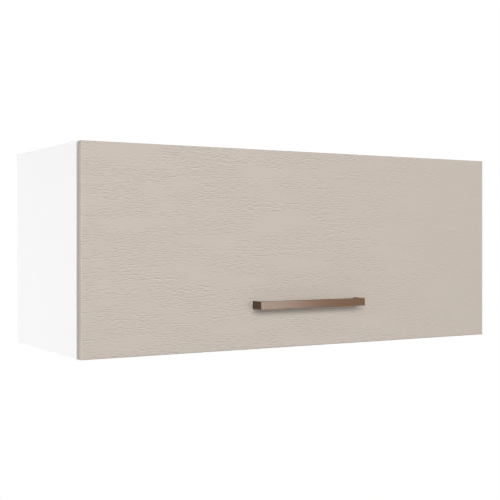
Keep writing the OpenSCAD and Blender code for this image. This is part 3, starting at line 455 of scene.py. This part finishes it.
def makeDoorFoil(s):
    # Beige foil: long embossed pores that follow a slow wave, wrapped round the door's edges
    material, tree, shader, spots = newMaterial("doorFoil", s)
    place = splitVector(tree, spots["Object"])
    facing = splitVector(tree, spots["Normal"])
    deep = mathNode(tree, "SUBTRACT", place[1], s["frontY"])

    def wrap(axis):
        # How far a point lies round the edge that faces this axis
        turned = mathNode(tree, "ABSOLUTE", facing[axis])
        onEdge = mathNode(tree, "GREATER_THAN", turned, alongAxis)
        return mathNode(tree, "MULTIPLY", mathNode(tree, "MULTIPLY", facing[axis], onEdge), deep)

    along = mathNode(tree, "ADD", place[0], wrap(0))
    across = mathNode(tree, "ADD", place[2], wrap(2))
    flat = joinVector(tree, along, across)

    def wave(kind):
        # A slow noise that goes as far below nothing as above it
        noise = stretchedNoise(tree, flat, s[kind], s[kind + "Detail"])
        return mathNode(tree, "SUBTRACT", noise, 0.5)

    quick = mathNode(tree, "MULTIPLY", wave("waveShort"), s["waveShortSize"])
    shift = mathNode(tree, "MULTIPLY_ADD", wave("waveLong"), s["waveLongSize"], quick)
    waved = mathNode(tree, "ADD", across, shift)

    def pores(step):
        # How deep the pores are at a place that lies this far across the grain
        point = joinVector(tree, along, mathNode(tree, "ADD", waved, step))
        short = stretchedNoise(tree, point, s["poreScale"], s["poreDetail"], s["poreRoughness"])
        long = stretchedNoise(tree, point, s["lineScale"], s["lineDetail"])
        return mathNode(tree, "MULTIPLY_ADD", fade(tree, long, *s["lineLevels"]), s["lineShare"],
                        fade(tree, short, *s["poreLevels"]))

    # The grain: where it is dense, how deep it is, and its shaded and lit walls
    calm = fade(tree, along, *s["calmX"], 1.0, s["calmShare"])
    patch = fade(tree, stretchedNoise(tree, flat, s["patchScale"], s["patchDetail"]),
                 *s["patchLevels"], s["patchLow"], 1.0)
    dense = mathNode(tree, "MULTIPLY", calm, patch)
    deepHere = pores(0.0)
    slope = mathNode(tree, "SUBTRACT", pores(s["poreStep"]), deepHere)
    wall = mathNode(tree, "MULTIPLY", slope, dense)
    wall = mathNode(tree, "MINIMUM", wall, mathNode(tree, "MULTIPLY", wall, s["litShare"]))
    shade = mathNode(tree, "MULTIPLY_ADD", wall, 0.5 * s["contrast"], 0.5, clamp=True)
    face = mixColor(tree, shade, s["dark"], s["light"])

    # Painted shade on the edges, deeper further back from the front; and the back
    # Painted shade: faces turned to the sides, and less so those turned up or down, take the darker
    # edge colour, more of it further back
    upright = mathNode(tree, "ABSOLUTE", facing[0])
    level = mathNode(tree, "MULTIPLY", mathNode(tree, "ABSOLUTE", facing[2]), s["levelEdge"])
    turned = fade(tree, mathNode(tree, "MAXIMUM", upright, level), *s["edgeTurn"])
    side = mathNode(tree, "MULTIPLY", turned, fade(tree, deep, *s["edgeDeep"], s["edgeStart"], 1.0))
    face = mixColor(tree, side, face, s["edge"])
    behind = mathNode(tree, "GREATER_THAN", facing[1], s["backFace"])
    feed(tree, shader, mixColor(tree, behind, face, s["back"]))
    height = mathNode(tree, "MULTIPLY", mathNode(tree, "MULTIPLY", deepHere, dense),
                      mathNode(tree, "SUBTRACT", behind, 1.0))
    bump(tree, shader, height, s["depth"])
    return material


metals = {
    "bronze": {
        "color": (0.092, 0.048, 0.024, 1), "low": (0.080, 0.041, 0.020, 1),
        "Roughness": 0.38, "Coat Weight": 0.62, "Coat Roughness": 0.14,
        "along": 10.0, "across": 1500.0, "depth": 0.00001, "spread": 0.05,
    },
    "nickel": {
        "color": (0.66, 0.64, 0.61, 1), "low": (0.62, 0.60, 0.57, 1), "Roughness": 0.26,
        "along": 1500.0, "across": 2600.0, "depth": 0.000001, "spread": 0.012,
    },
    "zinc": {
        "color": (0.58, 0.60, 0.62, 1), "low": (0.53, 0.55, 0.57, 1), "Roughness": 0.36,
        "along": 900.0, "across": 1600.0, "depth": 0.000002, "spread": 0.02,
    },
    "spring_steel": {
        "color": (0.20, 0.20, 0.21, 1), "low": (0.15, 0.15, 0.16, 1), "Roughness": 0.42,
        "along": 500.0, "across": 900.0, "depth": 0.000003, "spread": 0.02,
    },
}
metalSkin = {"Metallic": 1.0, "scale": 1500.0, "patches": 55.0, "lineLevels": (0.3, 0.7)}


def makeMetal(name, s):
    # Brushed lines and broad patches give the tone; the lines also vary the roughness
    s = {**metalSkin, **s}
    material, tree, shader, spots = newMaterial(name, s)
    line = useGroup(tree, brushed, {"Vector": spots["Object"], "Along": s["along"],
                                    "Across": s["across"]})["Line"]
    patch = addSkin(tree, spots, s)["Patch"]
    tone = mathNode(tree, "MULTIPLY_ADD", line, 0.5, mathNode(tree, "MULTIPLY", patch, 0.5))
    feed(tree, shader, mixColor(tree, tone, s["low"], s["color"]),
         fade(tree, line, *s["lineLevels"], s["Roughness"] - s["spread"],
              s["Roughness"] + s["spread"]))
    bump(tree, shader, line, s["depth"])
    return material


coatings = {
    "white_band": {**whites, "Roughness": 0.38, "Specular IOR Level": 0.4, "scale": 1100.0,
                   "patches": 30.0, "depth": 0.00003},
    "white_plastic": {"color": (0.84, 0.84, 0.83, 1), "low": (0.81, 0.81, 0.80, 1),
                      "Roughness": 0.40, "scale": 1300.0, "patches": 60.0, "depth": 0.00003},
    "grey_plastic": {"color": (0.30, 0.31, 0.32, 1), "low": (0.27, 0.28, 0.29, 1),
                     "Roughness": 0.48, "scale": 1000.0, "patches": 60.0, "depth": 0.00003},
    "clear_rubber": {"color": (0.80, 0.82, 0.81, 1), "low": (0.76, 0.78, 0.77, 1),
                     "Roughness": 0.25, "Transmission Weight": 0.55, "IOR": 1.45,
                     "scale": 700.0, "patches": 60.0, "depth": 0.00003},
}


def makeCoating(name, s):
    # Edge band, moulded plastic or rubber
    material, tree, shader, spots = newMaterial(name, s)
    skin = addSkin(tree, spots, s)
    feed(tree, shader, mixColor(tree, skin["Patch"], s["low"], s["color"]))
    bump(tree, shader, skin["Height"], s["depth"])
    return material


beechWood = {
    "Roughness": 0.6,
    "light": (0.60, 0.41, 0.24, 1),
    "dark": (0.45, 0.29, 0.16, 1),
    "along": 60.0,
    "across": 900.0,
    "depth": 0.00008,
}


def makeBeech(s):
    material, tree, shader, spots = newMaterial("beech", s)
    line = useGroup(tree, brushed, {"Vector": spots["Object"], "Along": s["along"],
                                    "Across": s["across"]})["Line"]
    feed(tree, shader, mixColor(tree, line, s["dark"], s["light"]))
    bump(tree, shader, line, s["depth"])
    return material


finishes = {
    "white_board": makeMelamine(melamine),
    "white_back": makeHardboard(hardboard),
    "door_foil": makeDoorFoil(foil),
    "beech": makeBeech(beechWood),
    **{slot: makeMetal(camelName(slot), values) for slot, values in metals.items()},
    **{slot: makeCoating(camelName(slot), values) for slot, values in coatings.items()},
}

for part in frame["record"]["subparts"]:
    mesh = nodes[part["node"]].data
    mesh.materials.clear()
    mesh.materials.append(finishes[part["material_slot"]])
print("Materials given to the CAD nodes")


# Pieces made by Geometry Nodes: each tree sets one shape on every point of a seed mesh


def groupSockets(tree, inputs):
    # inputs: name -> default (a number, or None for a material); geometry goes in and out
    tree.interface.new_socket("Geometry", in_out="OUTPUT", socket_type="NodeSocketGeometry")
    tree.interface.new_socket("Geometry", in_out="INPUT", socket_type="NodeSocketGeometry")
    for name, value in inputs.items():
        kind = "Material" if value is None else "Int" if isinstance(value, int) else "Float"
        socket = tree.interface.new_socket(name, in_out="INPUT", socket_type="NodeSocket" + kind)
        if value is not None:
            socket.default_value = value
    return addNode(tree, "NodeGroupInput").outputs, addNode(tree, "NodeGroupOutput").inputs


def pointPlace(tree):
    return splitVector(tree, addNode(tree, "GeometryNodeInputPosition").outputs[0])


def reachFromZ(tree, place):
    flat = joinVector(tree, place[0], place[1])
    return addNode(tree, "ShaderNodeVectorMath", {0: flat}, operation="LENGTH").outputs["Value"]


def moveGeometry(tree, geometry, z):
    return addNode(tree, "GeometryNodeTransform",
                   {"Geometry": geometry, "Translation": joinVector(tree, z=z)}).outputs[0]


def setOnPoints(tree, points, shape):
    # Puts the shape on every point, turned by the point's own attribute
    turn = addNode(tree, "GeometryNodeInputNamedAttribute", {"Name": "turn"},
                   data_type="FLOAT_VECTOR").outputs[0]
    return addNode(tree, "GeometryNodeInstanceOnPoints",
                   {"Points": points, "Instance": shape, "Rotation": turn}).outputs[0]


def realize(tree, instances):
    return addNode(tree, "GeometryNodeRealizeInstances", {"Geometry": instances}).outputs[0]


def setMaterial(tree, geometry, material, out):
    done = addNode(tree, "GeometryNodeSetMaterial", {"Geometry": geometry, "Material": material})
    tree.links.new(done.outputs[0], out[0])


def growMesh(name, seedMesh, tree, values):
    # Runs a node tree on a seed mesh and keeps the result as a plain mesh
    seed = bpy.data.objects.new(name + "Seed", seedMesh)
    bpy.context.scene.collection.objects.link(seed)
    maker = seed.modifiers.new("maker", "NODES")
    maker.node_group = tree
    sockets = {item.name: item.identifier for item in tree.interface.items_tree
               if item.in_out == "INPUT"}
    for key, value in values.items():
        maker[sockets[key]] = value
    evaluated = seed.evaluated_get(bpy.context.evaluated_depsgraph_get())
    grown = bpy.data.meshes.new_from_object(evaluated)
    bpy.data.objects.remove(seed)
    obj = bpy.data.objects.new(name, grown)
    bpy.context.scene.collection.objects.link(obj)
    return obj


def turnTo(way):
    # The turn that brings +Z round to this way
    return tuple(Vector(way).to_track_quat("Z", "Y").to_euler())


def pointMesh(name, points, turns):
    mesh = bpy.data.meshes.new(name)
    mesh.from_pydata(points, [], [])
    data = mesh.attributes.new("turn", "FLOAT_VECTOR", "POINT").data
    for item, turn in zip(data, turns):
        item.vector = turn
    return mesh


def mirrored(places):
    # The same places in the right half and in the left half
    return [(x * side, y, z) for side in (1, -1) for x, y, z in places]


# Screws

screws = {
    "wood": {"Head Radius": 0.0035, "Head Height": 0.0018, "Dome": 0.0007,
             "Shank Radius": 0.00168, "Shank Length": 0.0115,
             "Thread Depth": 0.0004, "Thread Pitch": 0.0013,
             "Slot Length": 0.0040, "Slot Width": 0.0009, "Slot Depth": 0.0013},
    "arm": {"Head Radius": 0.0035, "Head Height": 0.0018, "Dome": 0.0005,
            "Shank Radius": 0.00168, "Shank Length": 0.0060,
            "Thread Depth": 0.0002, "Thread Pitch": 0.0007,
            "Slot Length": 0.0042, "Slot Width": 0.0010, "Slot Depth": 0.0013},
    "handle": {"Head Radius": 0.0040, "Head Height": 0.0020, "Dome": 0.0009,
               "Shank Radius": 0.00195, "Shank Length": 0.0250,
               "Thread Depth": 0.0002, "Thread Pitch": 0.0007,
               "Slot Length": 0.0046, "Slot Width": 0.0011, "Slot Depth": 0.0015},
    "headSides": 40,
    "headRings": 7,
    "domePower": 2.4,           # the higher, the flatter the middle of the head
    "shankSides": 16,
    "shankRings": 44,
    "seed": 3,                  # of the first set; each next set adds one
    # node: its body, kind, finish, the way the shank points and where the heads sit on the right
    "sets": {
        "hinge_cup_screws": ("door", "wood", "zinc", (0, -1, 0),
                             [(x, -0.2913, 0.3007) for x in (0.266, 0.314)]),
        "hinge_plate_screws": ("carcass", "wood", "zinc", (0, 0, 1),
                               [(x, -0.253, 0.3095) for x in (0.274, 0.306)]),
        "hinge_arm_screws": ("carcass", "arm", "zinc", (0, 0, 1),
                             [(0.290, y, 0.3037) for y in (-0.266, -0.240)]),
        "bracket_screws": ("door", "wood", "zinc", (0, -1, 0),
                           [(0.3631, -0.2905, z) for z in (0.2027, 0.2367)]),
        "lift_screws": ("carcass", "wood", "zinc", (1, 0, 0),
                        [(0.381, -0.188, 0.266), (0.381, -0.098, 0.266), (0.381, -0.098, 0.300)]),
        "handle_screws": ("door", "handle", "nickel", (0, -1, 0), [(0.10125, -0.2925, 0.073)]),
    },
}


def addHead(tree, given, s):
    # A disc below the point, domed on its outer face, with a cross cut into it
    height = given["Head Height"]
    disc = addNode(tree, "GeometryNodeMeshCylinder",
                   {"Vertices": s["headSides"], "Fill Segments": s["headRings"],
                    "Side Segments": 1, "Radius": given["Head Radius"], "Depth": height})
    place = pointPlace(tree)
    ratio = mathNode(tree, "DIVIDE", reachFromZ(tree, place), given["Head Radius"])
    outer = mathNode(tree, "LESS_THAN", place[2], 0.0)
    drop = mathNode(tree, "MULTIPLY", mathNode(tree, "POWER", ratio, s["domePower"]), given["Dome"])
    lift = joinVector(tree, z=mathNode(tree, "MULTIPLY", drop, outer))
    domed = addNode(tree, "GeometryNodeSetPosition",
                    {"Geometry": disc.outputs["Mesh"], "Offset": lift}).outputs[0]
    head = moveGeometry(tree, domed, mathNode(tree, "MULTIPLY", height, -0.5))

    cross = addNode(tree, "GeometryNodeJoinGeometry")
    deep = mathNode(tree, "MULTIPLY", given["Slot Depth"], 2.0)
    length, width = given["Slot Length"], given["Slot Width"]
    for size in ((length, width), (width, length)):
        bar = addNode(tree, "GeometryNodeMeshCube", {"Size": joinVector(tree, *size, deep)})
        tree.links.new(bar.outputs["Mesh"], cross.inputs[0])
    cutter = moveGeometry(tree, cross.outputs[0], mathNode(tree, "MULTIPLY", height, -1.0))
    recess = addNode(tree, "GeometryNodeMeshBoolean", {"Mesh 1": head},
                     operation="DIFFERENCE", solver="EXACT")
    recess.inputs["Self Intersection"].default_value = True
    tree.links.new(cutter, recess.inputs["Mesh 2"])
    return recess.outputs["Mesh"]


def addShank(tree, given, s):
    # A rod above the point, drawn in along a helix
    radius, length = given["Shank Radius"], given["Shank Length"]
    rod = addNode(tree, "GeometryNodeMeshCylinder",
                  {"Vertices": s["shankSides"], "Side Segments": s["shankRings"],
                   "Radius": radius, "Depth": length})
    place = pointPlace(tree)
    angle = mathNode(tree, "ARCTAN2", place[1], place[0])
    pitches = mathNode(tree, "DIVIDE", place[2], given["Thread Pitch"])
    turns = mathNode(tree, "MULTIPLY", pitches, 2 * math.pi)
    wave = mathNode(tree, "SINE", mathNode(tree, "ADD", turns, angle))
    thin = mathNode(tree, "MULTIPLY", mathNode(tree, "SUBTRACT", 1.0, wave), given["Thread Depth"])
    share = mathNode(tree, "DIVIDE", mathNode(tree, "MULTIPLY", thin, 0.5), radius)
    slim = mathNode(tree, "SUBTRACT", 1.0, share)
    drawn = joinVector(tree, mathNode(tree, "MULTIPLY", place[0], slim),
                       mathNode(tree, "MULTIPLY", place[1], slim), place[2])
    thread = addNode(tree, "GeometryNodeSetPosition",
                     {"Geometry": rod.outputs["Mesh"], "Position": drawn}).outputs[0]
    return moveGeometry(tree, thread, mathNode(tree, "MULTIPLY", length, 0.5))


def makeScrewTree(s):
    # Each screw is turned to its place and then spun by chance about its own axis
    tree = bpy.data.node_groups.new("crossScrews", "GeometryNodeTree")
    given, out = groupSockets(tree, {**s["wood"], "Seed": s["seed"], "Material": None})
    whole = addNode(tree, "GeometryNodeJoinGeometry")
    tree.links.new(addHead(tree, given, s), whole.inputs[0])
    tree.links.new(addShank(tree, given, s), whole.inputs[0])
    spots = setOnPoints(tree, given["Geometry"], whole.outputs[0])
    chance = addNode(tree, "FunctionNodeRandomValue", data_type="FLOAT")
    chance.inputs[3].default_value = math.pi        # the most that a screw is spun by
    tree.links.new(given["Seed"], chance.inputs["Seed"])
    spun = addNode(tree, "GeometryNodeRotateInstances",
                   {"Instances": spots, "Rotation": joinVector(tree, z=chance.outputs[1]),
                    "Local Space": True})
    setMaterial(tree, realize(tree, spun.outputs[0]), given["Material"], out)
    return tree


def makeScrews(s):
    tree = makeScrewTree(s)
    for number, (node, (body, kind, finish, way, places)) in enumerate(s["sets"].items()):
        points = mirrored(places)
        turns = [turnTo((way[0] * side, way[1], way[2])) for side in (1, -1) for _ in places]
        obj = growMesh(camelName(node), pointMesh(node + "Points", points, turns), tree,
                       {**s[kind], "Seed": s["seed"] + number, "Material": finishes[finish]})
        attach(obj, body)
        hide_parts(node)


makeScrews(screws)
print("Screws made")


# Torsion springs of the lift units

springs = {
    "sizes": {"Wire Radius": 0.00172, "Coil Radius": 0.01115, "Height": 0.0064, "Turns": 1.83},
    "steps": 96,                            # along each turn
    "wireSides": 20,
    "place": (0.37275, -0.171, 0.2947),     # where the coil starts, in the right unit
}


def makeSpringTree(s):
    tree = bpy.data.node_groups.new("torsionSpring", "GeometryNodeTree")
    given, out = groupSockets(tree, {**s["sizes"], "Material": None})
    coil = given["Coil Radius"]
    path = addNode(tree, "GeometryNodeCurveSpiral",
                   {"Resolution": s["steps"], "Rotations": given["Turns"], "Start Radius": coil,
                    "End Radius": coil, "Height": given["Height"]})
    ring = addNode(tree, "GeometryNodeCurvePrimitiveCircle",
                   {"Resolution": s["wireSides"], "Radius": given["Wire Radius"]})
    wire = addNode(tree, "GeometryNodeCurveToMesh",
                   {"Curve": path.outputs[0], "Profile Curve": ring.outputs[0], "Fill Caps": True})
    laid = setOnPoints(tree, given["Geometry"], wire.outputs[0])
    smooth = addNode(tree, "GeometryNodeSetShadeSmooth", {"Geometry": realize(tree, laid)})
    setMaterial(tree, smooth.outputs[0], given["Material"], out)
    return tree


def makeSprings(s):
    tree = makeSpringTree(s)
    x, y, z = s["place"]
    for side, sign in (("left", -1), ("right", 1)):
        point = pointMesh(side + "SpringPoint", [(x * sign, y, z)], [turnTo((sign, 0, 0))])
        obj = growMesh(side + "TorsionSpring", point, tree, {"Material": finishes["spring_steel"]})
        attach(obj, "carcass")
        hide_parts(side + "_lift_spring")


makeSprings(springs)
print("Springs made")


# Domed door buffers and cam caps

sharpFrom = 50          # degrees between two faces from which their edge is shaded sharp

domes = {
    "sides": 48,
    "rings": 10,
    # node: its finish, its sizes, the way its dome faces and where it lies on the right;
    # the higher its power, the flatter its middle
    "sets": {
        "door_buffers": ("clear_rubber",
                         {"Radius": 0.0040, "Height": 0.0025, "Dome": 0.0012, "Power": 2.2},
                         (0, -1, 0), [(0.370, -0.290, 0.008)]),
        "cam_caps": ("white_plastic",
                     {"Radius": 0.0085, "Height": 0.0010, "Dome": 0.0007, "Power": 5.0},
                     (0, 0, 1), [(0.360, -0.253, 0.016), (0.360, -0.058, 0.016)]),
    },
}


def shadeSmooth(mesh):
    mesh.shade_smooth()
    mesh.set_sharp_from_angle(angle=math.radians(sharpFrom))


def makeDomeTree(s):
    # A disc above each point, its upper face drawn down towards the rim
    tree = bpy.data.node_groups.new("domedDiscs", "GeometryNodeTree")
    sizes = s["sets"]["door_buffers"][1]
    given, out = groupSockets(tree, {**sizes, "Material": None})
    disc = addNode(tree, "GeometryNodeMeshCylinder",
                   {"Vertices": s["sides"], "Fill Segments": s["rings"],
                    "Radius": given["Radius"], "Depth": given["Height"]})
    place = pointPlace(tree)
    upper = mathNode(tree, "GREATER_THAN", place[2], 0.0)
    ratio = mathNode(tree, "DIVIDE", reachFromZ(tree, place), given["Radius"])
    fall = mathNode(tree, "POWER", ratio, given["Power"])
    drop = mathNode(tree, "MULTIPLY", mathNode(tree, "MULTIPLY", fall, given["Dome"]), upper)
    lift = mathNode(tree, "SUBTRACT", mathNode(tree, "MULTIPLY", given["Height"], 0.5), drop)
    domed = addNode(tree, "GeometryNodeSetPosition",
                    {"Geometry": disc.outputs["Mesh"], "Offset": joinVector(tree, z=lift)})
    spots = setOnPoints(tree, given["Geometry"], domed.outputs[0])
    setMaterial(tree, realize(tree, spots), given["Material"], out)
    return tree


def makeDomes(s):
    tree = makeDomeTree(s)
    for node, (finish, sizes, way, places) in s["sets"].items():
        points = mirrored(places)
        seed = pointMesh(node + "Points", points, [turnTo(way)] * len(points))
        obj = growMesh(camelName("domed_" + node), seed, tree,
                       {**sizes, "Material": finishes[finish]})
        shadeSmooth(obj.data)
        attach(obj, "carcass")
        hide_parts(node)


makeDomes(domes)
print("Buffers and caps made")


# Rounded edges on the handle and the fittings

softEdges = {
    "merge": 0.000002,      # corners of the CAD mesh this near are one
    "flat": 0.5,            # degrees: faces that meet at less are one
    "sharp": 35,            # degrees: edges that turn by more are rounded
    "segments": 2,
    "profile": 0.5,         # a round one
    # piece, or a left and a right one: radius of its edges, and what they must be longer than
    "pieces": {
        "handle": (0.0004, 0.002),
        "lift_cap": (0.0006, 0.0),
        "lift_housing": (0.0005, 0.0008),
        "lever": (0.0003, 0.0),
        "link": (0.0003, 0.0),
        "hanger": (0.0006, 0.0),
        "hanger_cap": (0.0006, 0.0),
        "hanger_hook": (0.0003, 0.0),
        "wall_plate": (0.0003, 0.0),
        "hinge_arm": (0.0003, 0.0),
        "hinge_plate": (0.0003, 0.0),
        "hinge_cup": (0.0002, 0.002),
        "door_bracket": (0.0003, 0.0),
    },
}
held = frame["record"]["behaviour"]["bodies"]
bodyOf = {node: body for body, itsNodes in held.items() for node in itsNodes}
slotOf = {part["node"]: part["material_slot"] for part in frame["record"]["subparts"]}


def roundForm(node, radius, shortest, s):
    # The CAD form as a mesh with its sharp edges rounded
    form = bmesh.new()
    form.from_mesh(nodes[node].data)
    form.transform(nodes[node].matrix_world)
    bmesh.ops.remove_doubles(form, verts=form.verts, dist=s["merge"])
    bmesh.ops.dissolve_limit(form, angle_limit=math.radians(s["flat"]), verts=form.verts,
                             edges=form.edges)
    sharp = [edge for edge in form.edges if edge.calc_face_angle(0.0) > math.radians(s["sharp"])
             and edge.calc_length() > shortest]
    bmesh.ops.bevel(form, geom=sharp, offset=radius, offset_type="OFFSET",
                    segments=s["segments"], profile=s["profile"], affect="EDGES")
    bmesh.ops.triangulate(form, faces=form.faces)
    mesh = bpy.data.meshes.new(camelName("soft_" + node))
    form.to_mesh(mesh)
    form.free()
    return mesh


def softenEdges(node, radius, shortest, s):
    # A copy of the piece with rounded edges and even shading takes its place
    mesh = roundForm(node, radius, shortest, s)
    shadeSmooth(mesh)
    obj = bpy.data.objects.new(mesh.name, mesh)
    bpy.context.scene.collection.objects.link(obj)
    even = obj.modifiers.new("even", "WEIGHTED_NORMAL")
    even.keep_sharp = True
    evaluated = obj.evaluated_get(bpy.context.evaluated_depsgraph_get())
    obj.data = bpy.data.meshes.new_from_object(evaluated)
    obj.modifiers.clear()
    obj.data.materials.clear()
    obj.data.materials.append(finishes[slotOf[node]])
    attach(obj, bodyOf[node])
    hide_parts(node)


for pieceName, (edgeRadius, shortestEdge) in softEdges["pieces"].items():
    single = pieceName in nodes
    for node in [pieceName] if single else ["left_" + pieceName, "right_" + pieceName]:
        softenEdges(node, edgeRadius, shortestEdge, softEdges)
print("Edges rounded on", len(softEdges["pieces"]), "kinds of pieces")
